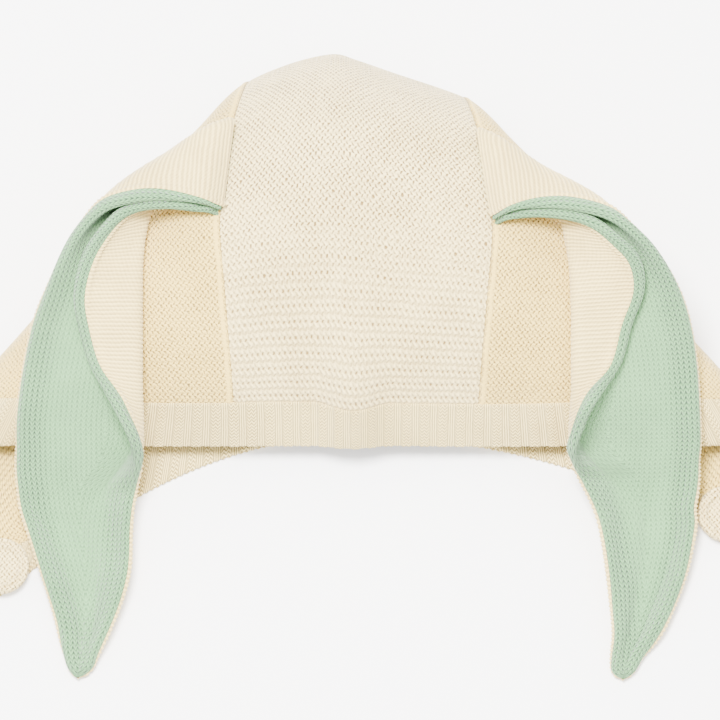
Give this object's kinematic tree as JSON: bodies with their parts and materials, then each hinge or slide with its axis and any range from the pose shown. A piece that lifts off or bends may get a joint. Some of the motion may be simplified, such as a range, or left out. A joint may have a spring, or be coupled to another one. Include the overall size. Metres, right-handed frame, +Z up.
{
  "type": "baby hat with lop ears",
  "caption": "Knitted baby hat with long lined lop ears and rounded chin flaps, lying flat with its nape side up.",
  "frame": {"origin": "on the underside of the crown panel, 60 mm behind the middle of the nape hem, where the hat rests", "axes": "+Z up from the surface it lies on, +Y from the opening towards the crown, +X to the viewer's right"},
  "size_m": [0.304, 0.2277, 0.0648],
  "materials": {
    "crown_knit": "ridged knit",
    "side_knit_left": "moss knit",
    "side_knit_right": "moss knit",
    "neck_rib": "ribbed knit",
    "face_rib": "ribbed knit",
    "ear_knit_left": "fine ridged knit",
    "ear_knit_right": "fine ridged knit",
    "lining_left": "plain knit",
    "lining_right": "plain knit",
    "tab_knit_left": "plain knit",
    "tab_knit_right": "plain knit"
  },
  "bodies": {
    "root": {"crown_panel": "crown_knit", "side_panel_left": "side_knit_left", "side_panel_right": "side_knit_right", "neck_band": "neck_rib", "face_band": "face_rib", "ear_back_left": "ear_knit_left", "ear_back_right": "ear_knit_right", "ear_lining_left": "lining_left", "ear_lining_right": "lining_right", "chin_tab_left": "tab_knit_left", "chin_tab_right": "tab_knit_right"}
  },
  "joints": []
}
